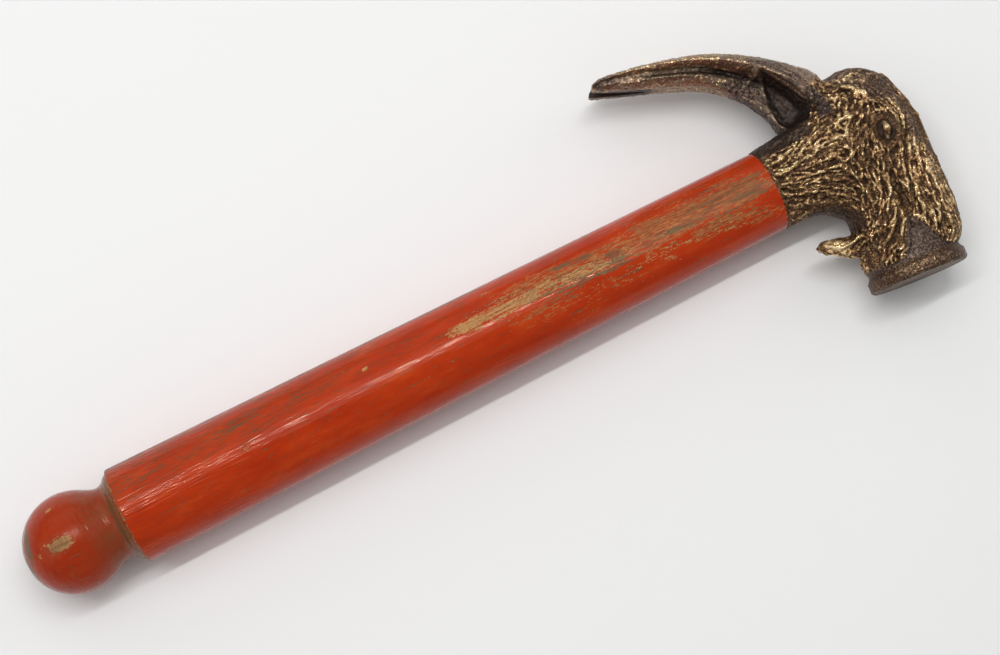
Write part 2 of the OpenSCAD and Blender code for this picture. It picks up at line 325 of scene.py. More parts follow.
# Points on the surface under a line drawn in the photograph's frame
def strokePath(tree, pixels, spacing=0.5):
    drawn = np.array(pixels, float)
    if len(drawn) > 2:
        drawn = np.array(curveThrough(drawn, 6))
    path = [spot for spot in (seenAt(tree, px, py) for px, py in drawn) if spot is not None]
    if len(path) < 2:
        return None
    path = np.array(path)
    reach = np.r_[0, np.cumsum(lengths(np.diff(path, axis=0)))]
    at = np.linspace(0, reach[-1], max(2, int(reach[-1] / spacing) + 1))
    return np.stack([np.interp(at, reach, path[:, k]) for k in range(3)], 1)


# Distance from each point to a line, and how far along the line it is
def distanceTo(path, points):
    best = np.full(len(points), 1e9)
    along = np.zeros(len(points))
    n = len(path) - 1
    for i in range(n):
        a, b = path[i], path[i + 1]
        ab = b - a
        t = np.clip(((points - a) @ ab) / max(ab @ ab, 1e-12), 0, 1)
        d = lengths(points - a - t[:, None] * ab)
        nearer = d < best
        best[nearer] = d[nearer]
        along[nearer] = (i + t[nearer]) / n
    return best, along


head = {
    "voxel": 0.34,  # mm, as the other sizes here
    "faceCentre": (32.2, -49.2),
    "faceLean": 5.6,  # degrees
    "pollRadius": 16.0,
    "smoothAll": 14,  # passes, as the next two
    "smoothHair": 20,
    "smoothPlaned": 60,
    "hornHold": 0.7,  # share of the horns' shape that the first passes leave
    "pits": 0.24,
    "hornGrain": 0.05,
    "locks": 560,
    "lockLength": (1.5, 5.0),
    "lockWidth": (0.6, 1.2),
    "lockHeight": (0.2, 0.55),
    "lockStep": 0.6,
    "lockSeed": 7,
    "carvingShare": 0.75,
    "sink": 0.25,  # the relief's mean, so that the head keeps its size
}

# Hair drawn out along its flow: height, width and reach in mm, steps and seed
hairStrokes = {
    "flecks": (0.28, 0.6, 0.9, 2, 3),
    "fine": (0.18, 0.85, 2.4, 5, 11),
    "broad": (0.25, 1.9, 4.5, 8, 23),
}

# A lock or a carved line beside its half width: the furrow next to it, and its tapered ends
ridge = {"furrow": 0.3, "furrowWidth": 0.8, "taper": 0.16}

# Soft edges of the casting's parts, in mm from the collar's centre unless another is named
partEdges = {
    "hornLine": (10, 14, -0.496, 0.868),  # a point at the horns' root and the way across it
    "hornRoot": (-0.8, 1.4),
    "pollSide": (0.15, 0.5),  # beyond the poll's radius
    "pollDepth": (14.5, 16),  # from the striking face
    "discDepth": (5.2, 6.0),
    "boreSide": (9.0, 9.4),
    "boreDepth": (35.0, 35.6),
    "collar": (0.4, 1.6),
    "collarHalf": 15.5,
    "slotHalf": (3.3, 4.0),
    "slotDepth": (-21, -18),
}

# The grid over the side view that holds the hair's direction, in mm
hairGrid = {"x": (-46, 64), "y": (-58, 66), "cell": 0.5, "blur": 3.5, "level": 12}

# The way the hair lies, as drawn over the photograph: place and direction in pixels
hairFlow = [
    (772, 170, 1, -0.1), (785, 160, 1, -0.6), (795, 150, 0.7, -0.8), (800, 135, 0.6, -0.8),
    (815, 125, 0.7, -0.6), (830, 135, 1, -0.5), (835, 150, 1, -0.4), (815, 165, 1, -0.2),
    (790, 182, 1, -0.1), (800, 193, 1, -0.05), (830, 190, 1, -0.1), (850, 195, 1, 0.1),
    (800, 210, 1, -0.5), (775, 190, 1, 0.2), (845, 215, 1, 0.6), (860, 215, 0.8, 0.8),
    (830, 90, 1, -0.2), (845, 75, 1, -0.2), (865, 72, 1, 0.1), (880, 82, 1, 0.7),
    (893, 97, 0.7, 1), (908, 115, 0.5, 1), (922, 135, 0.45, 1), (935, 165, 0.5, 1),
    (947, 195, 0.4, 1), (957, 220, 0.1, 1), (955, 238, -0.5, 1), (905, 130, 0.1, 1),
    (907, 160, 0, 1), (915, 185, 0.3, 1), (925, 205, 0.6, 1), (890, 100, 0.6, 0.8),
    (870, 105, 0.1, 1), (855, 105, 0, 1), (845, 120, -0.3, 1), (899, 130, 0, 1),
    (893, 145, -0.6, 0.6), (878, 145, 0.5, 1), (872, 128, 0.1, 1), (884, 110, 1, 0.1),
    (860, 130, -0.4, 1), (850, 145, -0.6, 0.9), (862, 160, 0.3, 1), (880, 165, 0.35, 1),
    (895, 170, 0.3, 1), (870, 185, 0.5, 1), (890, 190, 0.1, 1), (902, 200, 0.1, 1),
    (885, 205, -0.2, 1), (865, 205, 0.1, 1), (905, 225, 0, 1), (900, 245, -0.5, 1),
    (890, 240, -0.5, 1), (880, 235, -0.7, 0.7), (875, 255, -0.3, 1), (880, 270, 0.2, 1),
    (870, 225, -1, 0.7), (855, 240, -1, 0.4), (835, 247, -1, 0.1), (945, 225, 0.2, 1),
    (600, 88, 1, -0.3), (650, 70, 1, -0.25), (700, 58, 1, -0.05), (750, 60, 1, 0.25),
    (790, 75, 1, 0.7), (812, 100, 0.5, 1),
]

# Ridges and furrows cut one by one: height and half width in mm, then the line in photo pixels
carving = [
    # ear
    (0.8, 1.3, [(867, 123), (857, 113), (847, 116), (835, 124), (822, 130), (810, 140), (795, 155),
     (782, 165)]),
    (0.7, 1.2, [(868, 127), (865, 138), (852, 155), (840, 165), (825, 170), (810, 175), (795, 180),
     (783, 181)]),
    (-0.9, 2, [(862, 128), (852, 136), (838, 146), (822, 154), (806, 163), (792, 171)]),
    (0.5, 0.8, [(839, 131), (836, 135), (829, 138), (823, 140)]),
    (0.6, 0.9, [(815, 162), (800, 165), (787, 170), (774, 170)]),
    (-0.7, 0.8, [(773, 177), (783, 177), (790, 173), (797, 168), (806, 164)]),
    # neck
    (0.6, 0.8, [(803, 139), (798, 147), (791, 151)]),
    (0.6, 0.8, [(812, 133), (806, 143), (799, 152)]),
    (0.5, 0.8, [(832, 168), (826, 169), (820, 171)]),
    (0.6, 0.8, [(812, 178), (804, 182), (798, 184)]),
    (0.5, 0.8, [(800, 177), (790, 179.5)]),
    (0.5, 0.8, [(788, 184), (780, 184)]),
    (0.4, 0.7, [(792, 193), (802, 192), (812, 192.5), (823, 191), (833, 190)]),
    (0.4, 0.7, [(807, 202), (800, 205), (794, 209)]),
    # hairline arch at the horn's root
    (0.9, 1.8, [(838, 88), (847, 86), (855, 90), (863, 93), (870, 98)]),
    (-0.6, 1, [(838, 95), (850, 97), (862, 101)]),
    # brow over the eye
    (0.7, 1.1, [(869, 113), (876, 110), (884, 108), (892, 111), (898, 118), (900, 127),
     (900, 138)]),
    (-0.8, 1, [(906, 112), (907, 130), (906, 150), (908, 170)]),
    (0.5, 1, [(912, 118), (914, 135), (917, 155), (921, 175)]),
    # horn: the knob where its groove ends, and the rim of the hollow at its root
    (0.9, 1.6, [(756, 64), (757, 71), (752, 79), (744, 86)]),
    (0.9, 1.2, [(757, 66), (770, 70), (786, 78), (800, 88), (812, 101), (817, 112)]),
    (0.4, 1, [(757, 72), (762, 86), (771, 104), (783, 122)]),
    (-1, 1.2, [(644, 76), (670, 72), (700, 71), (725, 73), (745, 77)]),
    # cheek below the eye
    (0.6, 0.9, [(893, 141), (900, 145), (902, 153)]),
    (0.6, 0.9, [(868, 124), (872, 134), (875, 146), (878, 160), (882, 170)]),
    (0.7, 1, [(894, 165), (897, 176), (905, 184), (910, 190)]),
    (0.6, 1, [(914, 194), (919, 198), (926, 201)]),
    (0.6, 0.9, [(888, 186), (890, 193), (886, 202), (882, 212)]),
    (0.6, 0.9, [(858, 177), (865, 174), (872, 178)]),
    (-0.7, 1.1, [(903, 190), (904, 200), (903, 208)]),
    # nose bridge and nostril
    (0.6, 1.3, [(922, 150), (928, 165), (936, 182), (945, 198)]),
    (-0.5, 0.8, [(917, 160), (924, 178), (934, 198), (938, 208)]),
    (0.9, 1.2, [(940, 211), (939, 217), (938, 223)]),
    (-0.8, 0.9, [(944, 212), (947, 219), (945, 227)]),
    (0.5, 0.8, [(948, 217), (953, 216), (956, 221)]),
    (0.5, 0.7, [(938, 229), (941, 233), (939, 238)]),
    (-0.5, 0.7, [(943, 228), (948, 232), (951, 238)]),
    (0.5, 0.8, [(955, 235), (951, 241), (943, 241), (937, 239)]),
    # lips
    (0.6, 0.9, [(912, 214), (919, 215), (925, 219), (931, 226), (936, 234), (937, 243)]),
    # lower jaw hair
    (0.6, 1, [(910, 217), (910, 232), (909, 246), (905, 252)]),
    (-0.6, 0.8, [(906, 222), (905, 236), (901, 246), (892, 254)]),
    (0.7, 0.9, [(905, 247), (899, 248), (893, 254), (887, 261)]),
    (0.7, 1, [(902, 205), (904, 218), (902, 232), (896, 243), (888, 252)]),
    (-0.6, 0.8, [(899, 210), (899, 224), (895, 236), (886, 247), (877, 256)]),
    (0.7, 1, [(894, 212), (894, 225), (889, 236), (880, 246), (872, 255)]),
    (-0.6, 0.9, [(889, 216), (887, 228), (879, 238), (870, 247)]),
    (0.7, 0.9, [(883, 229), (876, 232), (869, 238), (860, 246)]),
    (0.6, 0.9, [(880, 256), (882, 264), (885, 269)]),
    # beard lock
    (0.8, 0.9, [(864, 234), (856, 240), (846, 246), (842, 248), (833, 247), (822, 245)]),
    (0.5, 0.8, [(821, 247), (827, 251), (835, 254), (846, 256), (858, 254)]),
    (-0.4, 0.8, [(828, 249), (838, 251), (850, 250), (862, 244)]),
    (0.4, 0.8, [(848, 237), (838, 239), (826, 241)]),
]

# Smooth places, where the hair is held back: share left, radius in mm, place in pixels
smoothSpots = [
    (0.15, 6, 838, 214), (0.3, 4, 815, 214), (0.3, 4.5, 862, 64), (0.35, 5, 885, 86),
    (0.3, 4, 905, 105), (0.3, 4, 918, 125), (0.25, 4.5, 765, 146), (0.3, 3.5, 838, 244),
    (0.2, 3, 825, 246), (0.45, 4, 900, 235), (0.45, 4, 888, 240), (0.4, 4, 902, 202),
    (0.5, 3, 848, 238), (0.3, 3, 850, 83), (0.3, 4, 872, 262), (0.05, 3, 931, 146),
]

# Patches drawn over the photograph: the outline in pixels, the share of the hair's relief
# that stays, the polish and the darkness added, the depth cut in mm and how far it is satin
patches = [
    # hollow at the horn's root
    ([(761, 71), (778, 81), (797, 94), (811, 107), (808, 118), (792, 128), (779, 124), (767, 100)],
     0.15, -0.42, 0.9, 0.5, 1),
    # crest over the hollow, and the horn's root under it
    ([(742, 58), (775, 61), (802, 76), (824, 96), (834, 110), (820, 117), (812, 103), (797, 90),
     (776, 76), (757, 67)], 0.5, -0.28, 0, 0, 1),
    ([(722, 86), (738, 78), (762, 76), (776, 112), (792, 128), (782, 145), (764, 134), (745, 108)],
     0.3, -0.34, 0.3, 0, 1),
    # bare edge of the neck behind the hollow
    ([(746, 156), (764, 140), (782, 132), (806, 122), (812, 132), (790, 146), (768, 154),
     (752, 162)], 0.3, -0.35, 0.35, 0, 0.8),
    # bottom of the horn's groove
    ([(640, 76), (690, 70), (746, 71), (748, 80), (700, 77), (644, 81)], 1, -0.25, 0.4, 0, 1),
    ([(586, 84), (612, 72), (618, 84), (600, 92)], 0.6, -0.25, 0, 0, 1),
    ([(600, 85), (650, 78), (690, 75), (725, 78), (738, 88), (700, 92), (650, 92), (606, 93)], 1,
     0, 0, 0, 1),
    ([(640, 80), (680, 76), (706, 77), (708, 90), (680, 90), (642, 90)], 1, 0.1, -0.1, 0, 1),
    ([(606, 78), (650, 62), (700, 53), (722, 54), (715, 66), (690, 66), (640, 75)], 1, 0.16, -0.3,
     0, 1),
    # beard
    ([(820, 243), (826, 239), (838, 240), (850, 239), (851, 247), (846, 253), (830, 252)], 0.4,
     0.62, -0.5, 0, 0),
    # crown, forelock and the two sides of the eye
    ([(822, 82), (835, 66), (860, 62), (885, 74), (900, 96), (905, 108), (888, 100), (866, 92),
     (845, 86)], 0.7, 0.03, -0.15, 0, 0.6),
    ([(896, 96), (912, 110), (925, 140), (912, 150), (908, 128)], 0.5, 0, -0.2, 0, 0.5),
    ([(914, 130), (926, 138), (945, 180), (955, 205), (945, 210), (930, 180)], 0.85, 0.06, -0.15,
     0, 0),
    ([(932, 156), (942, 168), (952, 192), (957, 206), (950, 206), (938, 182)], 0.9, 0.16, -0.2, 0,
     0),
    # throat; and the bare metal between beard and neck, where the darkness and lost polish are
    # painted shade under the neck
    ([(908, 214), (916, 218), (932, 232), (940, 246), (922, 250), (906, 256)], 0.1, -0.1, 0, 0, 1),
    ([(808, 216), (838, 206), (862, 214), (866, 228), (846, 234), (812, 236)], 0.2, -0.3, 0.3, 0,
     0.6),
    # worn streak along the disc's edge
    ([(898, 266), (936, 252), (940, 257), (902, 273)], 1, 0.16, -0.2, 0, 0),
]

# Places planed smooth along the profile: radius in mm and place in pixels
planed = [(4, 929, 148), (3, 932, 140)]

# The eye, along the photograph's own right and up
goatEye = {
    "at": (41.6, -1.0),  # mm from the collar's centre
    "socket": (4.3, 5.2, -0.8),  # half width, half height and rise in mm
    "rim": (4.7, 5.7, 0.55),
    "ball": (1.7, 3.1, 1.1),
    "turn": 0.15,
    "socketEdge": (0.55, 0.95),  # in shares of the socket
    "rimWidth": 0.16,  # in shares of the rim, as the next
    "areaEdge": (0.95, 1.2),
    "side": (9.0, 12.0),  # mm from the mid-plane
    "kept": (5.0, 8.0),  # mm round the eye that are smoothed less
}

# Spots the hand has rubbed bright, or that stay dark: strength, radius in mm, place in pixels
rubbed = [
    (0.6, 3.5, 932, 168), (0.6, 3, 942, 190), (0.6, 2, 939, 216), (0.6, 2.5, 848, 136),
    (0.5, 3, 857, 90), (0.3, 3, 872, 110), (0.8, 4.5, 838, 246), (0.5, 4, 868, 172),
    (0.6, 3, 906, 185), (0.5, 4, 800, 160), (0.5, 3, 830, 150), (0.5, 3, 903, 249),
    (0.4, 3.5, 840, 122), (0.4, 3, 918, 200), (0.4, 3, 889, 200), (0.4, 3, 920, 216),
    # spots that stay dark; the first, on the throat under the neck, is painted shade
    (-0.8, 6, 835, 218), (-0.6, 4, 905, 203), (-0.5, 3.5, 880, 92), (-0.6, 5, 902, 92),
    (-0.6, 5, 870, 258), (-0.5, 4, 770, 150), (-0.5, 3.5, 886, 122), (-0.5, 4, 870, 135),
    (-0.5, 3, 900, 150), (-0.6, 4, 915, 112),
]


# Where points show in the photograph, with both sides drawn as the near one
def photoPlace(points):
    offset = points * mm
    offset[:, 2] = np.abs(offset[:, 2])
    offset += home - eye
    depth = offset @ sight
    return np.stack([
        photoSize[0] / 2 + focal * (offset @ rightward) / depth,
        photoSize[1] / 2 - focal * (offset @ upward) / depth,
    ], 1)


# 1 inside an outline and 0 outside it, over a soft edge in pixels
def insideOf(places, outline, soft=2.0):
    corners = np.array(outline + outline[:1], float)
    inside = np.zeros(len(places), bool)
    for start, end in zip(corners, corners[1:]):
        edge = end - start
        crosses = (start[1] > places[:, 1]) != (end[1] > places[:, 1])
        at = start[0] + (places[:, 1] - start[1]) * edge[0] / (edge[1] or 1e-9)
        inside ^= crosses & (places[:, 0] < at)
    gap = distanceTo(corners, places)[0]
    return ramp(-soft, soft, np.where(inside, gap, -gap))


def remeshHead():
    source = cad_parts["goat_head"]
    obj = addObject("cast_head", source.data.copy())
    obj.matrix_world = source.matrix_world
    mod = obj.modifiers.new("remesh", "REMESH")
    mod.mode = "VOXEL"
    mod.voxel_size = head["voxel"] * mm
    mod.use_smooth_shade = True
    mesh = appliedMesh(obj)
    obj.modifiers.clear()
    obj.data = mesh
    mesh.name = "cast_head"
    mesh.materials.clear()
    return obj


# The hair's direction on the grid over the side view
def flowGrid():
    level = home[2] + hairGrid["level"] * mm
    at, way = [], []
    for px, py, dx, dy in hairFlow:
        a = (onLevel(px, py, level) - home) / mm
        b = (onLevel(px + 4 * dx, py + 4 * dy, level) - home) / mm
        at.append(a[:2])
        way.append(unit((b - a)[:2]))
    at, way = np.array(at), np.array(way)
    xs, ys = (np.arange(*hairGrid[axis], hairGrid["cell"]) for axis in "xy")
    gx, gy = np.meshgrid(xs, ys, indexing="ij")
    spots = np.stack([gx.ravel(), gy.ravel()], 1)
    d2 = ((spots[:, None] - at[None]) ** 2).sum(2)
    d2 -= d2.min(1, keepdims=True)
    w = np.exp(-d2 / (2 * hairGrid["blur"] ** 2))
    v = w @ way
    v /= np.linalg.norm(v, axis=1, keepdims=True) + 1e-9
    return v.reshape(len(xs), len(ys), 2)


# Points moved along the hair, staying at their level
def followFlow(grid, points, distance):
    i, j = (
        np.clip(
            ((points[:, k] - hairGrid[axis][0]) / hairGrid["cell"]).astype(int),
            0, grid.shape[k] - 1,
        )
        for k, axis in enumerate("xy")
    )
    out = points.copy()
    out[:, :2] += grid[i, j] * distance
    return out


# Random values drawn out along the hair
def streaks(grid, points, cell, reach, steps, seed):
    total = speckle(points, cell, seed)
    for way in (1, -1):
        p = points
        for _ in range(steps):
            p = followFlow(grid, p, way * reach / steps)
            total += speckle(p, cell, seed)
    total /= 2 * steps + 1
    return (total - total.mean()) / total.std()


def ridgeShape(distance, halfWidth, along):
    bump = np.where(distance < halfWidth, np.cos(distance / halfWidth * math.pi / 2) ** 2, 0)
    width = ridge["furrowWidth"]
    beside = np.where(
        (distance >= halfWidth) & (distance < (1 + width) * halfWidth),
        np.sin((distance - halfWidth) / (width * halfWidth) * math.pi), 0,
    )
    taper = ramp(0, ridge["taper"], along) * ramp(0, ridge["taper"], 1 - along)
    return (bump - ridge["furrow"] * beside) * taper


# Lay a ridge along a line, wherever it is stronger than what lies there
def layRidge(total, points, line, halfWidth, height):
    low, high = line.min(0) - 2 * halfWidth, line.max(0) + 2 * halfWidth
    near = np.nonzero(np.all((points > low) & (points < high), axis=1))[0]
    d, along = distanceTo(line, points[near])
    shape = ridgeShape(d, halfWidth, along) * height
    stronger = np.abs(shape) > np.abs(total[near])
    total[near[stronger]] = shape[stronger]


# Masks over the head: horns, poll, disc, bore, collar and the claw's slot
def headRegions(p):
    x, y, z = p[:, 0], p[:, 1], p[:, 2]
    e = partEdges
    rootX, rootY, wayX, wayY = e["hornLine"]
    horns = ramp(*e["hornRoot"], (x - rootX) * wayX + (y - rootY) * wayY)
    lean = math.radians(head["faceLean"])
    fx, fy = x - head["faceCentre"][0], y - head["faceCentre"][1]
    inward = fx * math.sin(lean) + fy * math.cos(lean)
    across = fx * math.cos(lean) - fy * math.sin(lean)
    sideLow, sideHigh = (head["pollRadius"] + beyond for beyond in e["pollSide"])
    poll = 1 - ramp(sideLow, sideHigh, np.hypot(across, z))
    poll *= 1 - ramp(*e["pollDepth"], inward)
    disc = 1 - ramp(*e["discDepth"], inward)
    poll = np.maximum(poll, disc)
    bore = (1 - ramp(*e["boreSide"], np.hypot(y, z))) * (1 - ramp(*e["boreDepth"], x))
    collar = (1 - ramp(*e["collar"], x)) * (np.abs(y) < e["collarHalf"])
    slot = (1 - ramp(*e["slotHalf"], np.abs(z))) * (1 - ramp(*e["slotDepth"], x))
    return horns, poll, disc, bore, collar, slot


# How near points are to the place under a pixel, and then to its mirror image
def nearSpots(points, tree, radius, pixel, power):
    spot = seenAt(tree, *pixel)
    if spot is not None:
        for middle in (spot, spot * (1, 1, -1)):
            yield np.exp(-(lengths(points - middle) / radius) ** power)


# Relief of both eyes, with masks of the whole eye and of the ball
def carveEye(points):
    across = unit(rightward[:2])
    above = np.array([-across[1], across[0]])
    offset = points[:, :2] - goatEye["at"]
    h, v = offset @ across, offset @ above
    h = h + goatEye["turn"] * v
    inside = {
        name: np.hypot(h / goatEye[name][0], v / goatEye[name][1])
        for name in ("socket", "rim", "ball")
    }
    side = ramp(*goatEye["side"], np.abs(points[:, 2]))
    socket = goatEye["socket"][2] * (1 - ramp(*goatEye["socketEdge"], inside["socket"]))
    rim = goatEye["rim"][2] * bell(inside["rim"], 1, goatEye["rimWidth"])
    ball = goatEye["ball"][2] * np.sqrt(np.clip(1 - inside["ball"] ** 2, 0, 1))
    area = (1 - ramp(*goatEye["areaEdge"], inside["rim"])) * side
    return (socket + rim + ball) * side, area, (inside["ball"] < 1.0) * side


def layLocks(points, tree, grid, spots):
    rng = np.random.default_rng(head["lockSeed"])
    total = np.zeros(len(points))
    step = head["lockStep"]
    for _ in range(head["locks"]):
        path = [points[spots[rng.integers(len(spots))]]]
        length = rng.uniform(*head["lockLength"])
        width = rng.uniform(*head["lockWidth"])
        height = rng.uniform(*head["lockHeight"])
        for _ in range(int(length / step) + 1):
            path.append(nearestOn(tree, followFlow(grid, path[-1][None], step)[0]))
        layRidge(total, points, np.array(path), width, height)
    return total * (0.4 + 0.9 * speckle(points, 1.3, 78))


def layCarving(points, tree):
    total = np.zeros(len(points))
    for height, width, pixels in carving:
        path = strokePath(tree, pixels)
        if path is not None:
            for side in (1, -1):
                layRidge(total, points, path * (1, 1, side), width, height)
    return total * head["carvingShare"] * (0.5 + 0.8 * speckle(points, 1.7, 77))


# Ease the facets, plane some places more and set turned faces back on their true shape
def smoothHead(points, edges, still, horns, turned):
    eyeX, eyeY = goatEye["at"]
    nearEye = 1 - ramp(*goatEye["kept"], np.hypot(points[:, 0] - eyeX, points[:, 1] - eyeY))
    hold = (1 - still) * (1 - head["hornHold"] * horns)
    points = smoothOver(points, edges, head["smoothAll"], hold)
    hold = (1 - still) * (1 - horns) * (1 - nearEye)
    points = smoothOver(points, edges, head["smoothHair"], hold)
    places = photoPlace(points)
    for radius, *pixel in planed:
        apart = lengths(places - pixel) * mmPerPixel
        hold = (1 - still) * np.exp(-(apart / radius) ** 4)
        points = smoothOver(points, edges, head["smoothPlaned"], hold)
    exact = surfaceTree(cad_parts["goat_head"].data)
    for i in np.nonzero(turned > 0.5)[0]:
        points[i] = nearestOn(exact, points[i])
    return points, places


# How the polish of the hair follows height, hand and chance
headWear = {
    "proud": 0.85,
    "rubbed": 0.4,
    "patchy": 0.6,
    "calm": 0.1,
    "range": (-0.2, 0.84),
    "horns": (0.51, 0.3),  # least polish, and what edges add
    "eye": 0.75,  # share of the polish that the eye loses
    "eyeBall": 0.9,
    "eyeDark": 0.45,
}


def carveHead(obj):
    mesh = obj.data
    points, edges = readPoints(mesh), readArray(mesh.edges, "vertices", 2, np.int64)
    horns, poll, disc, bore, collar, slot = headRegions(points)
    still = np.maximum.reduce([poll, bore, collar, slot])
    points, places = smoothHead(points, edges, still, horns, np.maximum(poll, collar))
    writePoints(mesh, points)
    normals = readArray(mesh.vertices, "normal", 3)
    tree = surfaceTree(mesh)
    print("head smoothed:", len(points), "points")

    # calm is the share of the hair's relief that stays: less where the head turns away
    free = 1 - still
    hair = free * (1 - horns)
    calm = 0.3 + 0.7 * ramp(0.3, 0.8, np.abs(normals[:, 2]))
    lowerFace = ramp(-22, -26, points[:, 1]) * ramp(50, 46, points[:, 0])
    calm = np.maximum(calm, lowerFace)
    for share, radius, *pixel in smoothSpots:
        for mask in nearSpots(points, tree, radius, pixel, 4):
            calm *= 1 - (1 - share) * mask
    polished, darkened, cut = (np.zeros(len(points)) for _ in range(3))
    satin = np.maximum(horns, poll - 0.5 * disc)
    for outline, share, shine, dark, depth, plain in patches:
        mask = insideOf(places, outline)
        calm *= 1 - (1 - share) * mask
        polished += shine * mask
        darkened += dark * mask
        cut += depth * mask
        satin = np.maximum(satin, plain * mask)
    eyeShape, eyeArea, eyeBall = carveEye(points)
    calm *= 1 - 0.92 * eyeArea
    darkened += headWear["eyeDark"] * eyeArea * (1 - eyeBall)

    grid = flowGrid()
    strokes = {name: streaks(grid, points, *row[1:]) for name, row in hairStrokes.items()}
    relief = sum(hairStrokes[name][0] * values for name, values in strokes.items())
    relief = relief * hair * calm
    relief += free * horns * head["hornGrain"] * (strokes["fine"] + strokes["flecks"])
    relief += free * head["pits"] * (speckle(points, 0.7, 5) - 0.5) * 2 * (1 - eyeArea)
    relief += layLocks(points, tree, grid, np.nonzero(hair * calm > 0.3)[0]) * hair * calm
    print("hair locks laid")

    # the carving thins the hair under it
    byHand = layCarving(points, tree)
    cover = ramp(0.1, 0.5, np.abs(byHand))
    relief = relief * (1 - 0.5 * cover) + byHand * free + eyeShape * hair - cut * free
    print("carving cut")

    relief = smoothOver(relief, edges, 1)
    moved = points + normals * (relief - head["sink"] * hair)[:, None]
    low, high = [(np.array(corner) - home) / mm for corner in cadBox]
    moved = np.clip(moved, low, high)
    writePoints(mesh, moved)

    # wear: bright where the metal stands proud of what is round it
    around = smoothOver(moved, edges, 24)
    proud = ((moved - around) * normals).sum(1) * 1.6
    boost = np.zeros(len(points))
    for strength, radius, *pixel in rubbed:
        for mask in nearSpots(points, tree, radius, pixel, 2):
            boost += strength * mask
    patchy = speckle(points, 4.5, 31) + 0.8 * speckle(points, 1.2, 32) - 0.9
    wear = headWear
    hairPolish = ramp(*wear["range"], (
        wear["proud"] * proud + wear["rubbed"] * boost + wear["patchy"] * patchy
        - wear["calm"] * (1 - calm)
    ))
    hornPolish = wear["horns"][0] + wear["horns"][1] * ramp(0.1, 0.7, proud + 0.5 * patchy)
    polish = hair * hairPolish + free * horns * hornPolish
    polish = np.clip(polish + polished * (0.7 + 0.6 * speckle(points, 1.6, 44)), 0.04, 1)
    ballWear = wear["eyeBall"] * eyeBall * ramp(0.2, 0.5, speckle(points, 1.0, 61))
    polish = np.maximum(polish * (1 - wear["eye"] * eyeArea), ballWear)
    chance = 0.55 * speckle(points, 2.6, 41) + 0.35 * speckle(points, 0.9, 42) + 0.12
    discPolish = disc * (0.1 * ramp(0.3, 0.85, chance) + np.maximum(polished, 0))
    polish = np.where(poll > 0.5, 0.1 - 0.11 * disc + discPolish, polish)
    # dark patina in the hollows and the slot, plus the darkness the patches and eye add; under the
    # neck that darkness is painted shade
    hollow = np.maximum(ramp(0, 0.55, -proud), slot) + darkened
    addAttribute(mesh, "polish", polish)
    addAttribute(mesh, "hollow", np.clip(hollow, 0, 1.3))
    addAttribute(mesh, "satin", satin)
    return obj


def addNode(mat, kind, values, **settings):
    node = mat.node_tree.nodes.new(kind)
    for key, value in settings.items():
        setattr(node, key, value)
    feed(mat, node, values)
    return node


def attribute(mat, name):
    return addNode(mat, "ShaderNodeAttribute", {}, attribute_name=name).outputs["Fac"]


def noise(mat, scale, stretch=(1, 1, 1), detail=3.0, roughness=0.6):
    place = addNode(mat, "ShaderNodeTexCoord", {}).outputs["Object"]
    mapping = addNode(mat, "ShaderNodeMapping", {"Vector": place})
    mapping.inputs["Scale"].default_value = stretch
    return addNode(mat, "ShaderNodeTexNoise", {
        "Vector": mapping.outputs["Vector"],
        "Scale": scale, "Detail": detail, "Roughness": roughness,
    }).outputs["Fac"]


def calc(mat, kind, a, b):
    return addNode(mat, "ShaderNodeMath", {0: a, 1: b}, operation=kind).outputs[0]


def times(mat, a, b):
    return calc(mat, "MULTIPLY", a, b)


# Sum of weight * (value - 0.5) over the given pairs, on top of a first value
def stir(mat, total, *pairs):
    for value, weight in pairs:
        total = calc(mat, "ADD", total, times(mat, calc(mat, "SUBTRACT", value, 0.5), weight))
    return total


# The value smoothly drawn from one range to another
def spread(mat, value, low, high, to=(0.0, 1.0)):
    return addNode(mat, "ShaderNodeMapRange", {
        "Value": value, "From Min": low, "From Max": high, "To Min": to[0], "To Max": to[1],
    }, interpolation_type="SMOOTHSTEP").outputs["Result"]


def colours(mat, value, stops):
    node = addNode(mat, "ShaderNodeValToRGB", {"Fac": value})
    band = node.color_ramp
    while len(band.elements) < len(stops):
        band.elements.new(0.5)
    for element, (place, colour) in zip(band.elements, stops):
        element.position = place
        element.color = (*colour, 1.0)
    return node.outputs["Color"]


# Two colours mixed by an amount, which a share may weaken
def blend(mat, amount, a, b, way="MIX", share=None):
    if share is not None:
        amount = times(mat, amount, share)
    node = addNode(mat, "ShaderNodeMix", {0: amount}, data_type="RGBA", blend_type=way)
    feed(mat, node, {6: a, 7: b})  # its two colour sockets
    return node.outputs[2]


def bump(mat, height, distance, strength):
    values = {"Height": height, "Distance": distance, "Strength": strength}
    dress(mat, {"Normal": addNode(mat, "ShaderNodeBump", values).outputs["Normal"]})


# Brass with a brown skin that the hand has rubbed through
brass = {
    "skin": [
        (0.0, (0.085, 0.043, 0.02)), (0.25, (0.19, 0.105, 0.053)),
        (0.55, (0.44, 0.265, 0.115)), (0.8, (0.78, 0.54, 0.25)), (1.0, (0.93, 0.75, 0.46)),
    ],
    "satin": [
        (0.0, (0.05, 0.034, 0.028)), (0.25, (0.15, 0.105, 0.082)),
        (0.5, (0.25, 0.178, 0.127)), (0.75, (0.38, 0.255, 0.155)), (1.0, (0.84, 0.62, 0.35)),
    ],
    "tint": [(0.25, (0.86, 0.9, 0.74)), (0.5, (1, 1, 1)), (0.75, (1.0, 0.8, 0.75))],
    "tintShare": 0.7,
    # dark patina of the hollows, also laid under the neck as painted shade
    "hollow": (0.018, 0.012, 0.01),
    "hollowShare": 0.65,
    "metallic": 0.8,
    "roughness": (0.5, 0.2),  # of the skin and of polished metal
    "noises": {  # scale and detail
        "dust": (900.0, 4.0), "grit": (1700.0, 2.0), "sparks": (1400.0, 1.0),
        "hue": (170.0, 3.0), "fineHue": (1300.0, 2.0),
    },
    "bump": 0.0004,  # metres
}


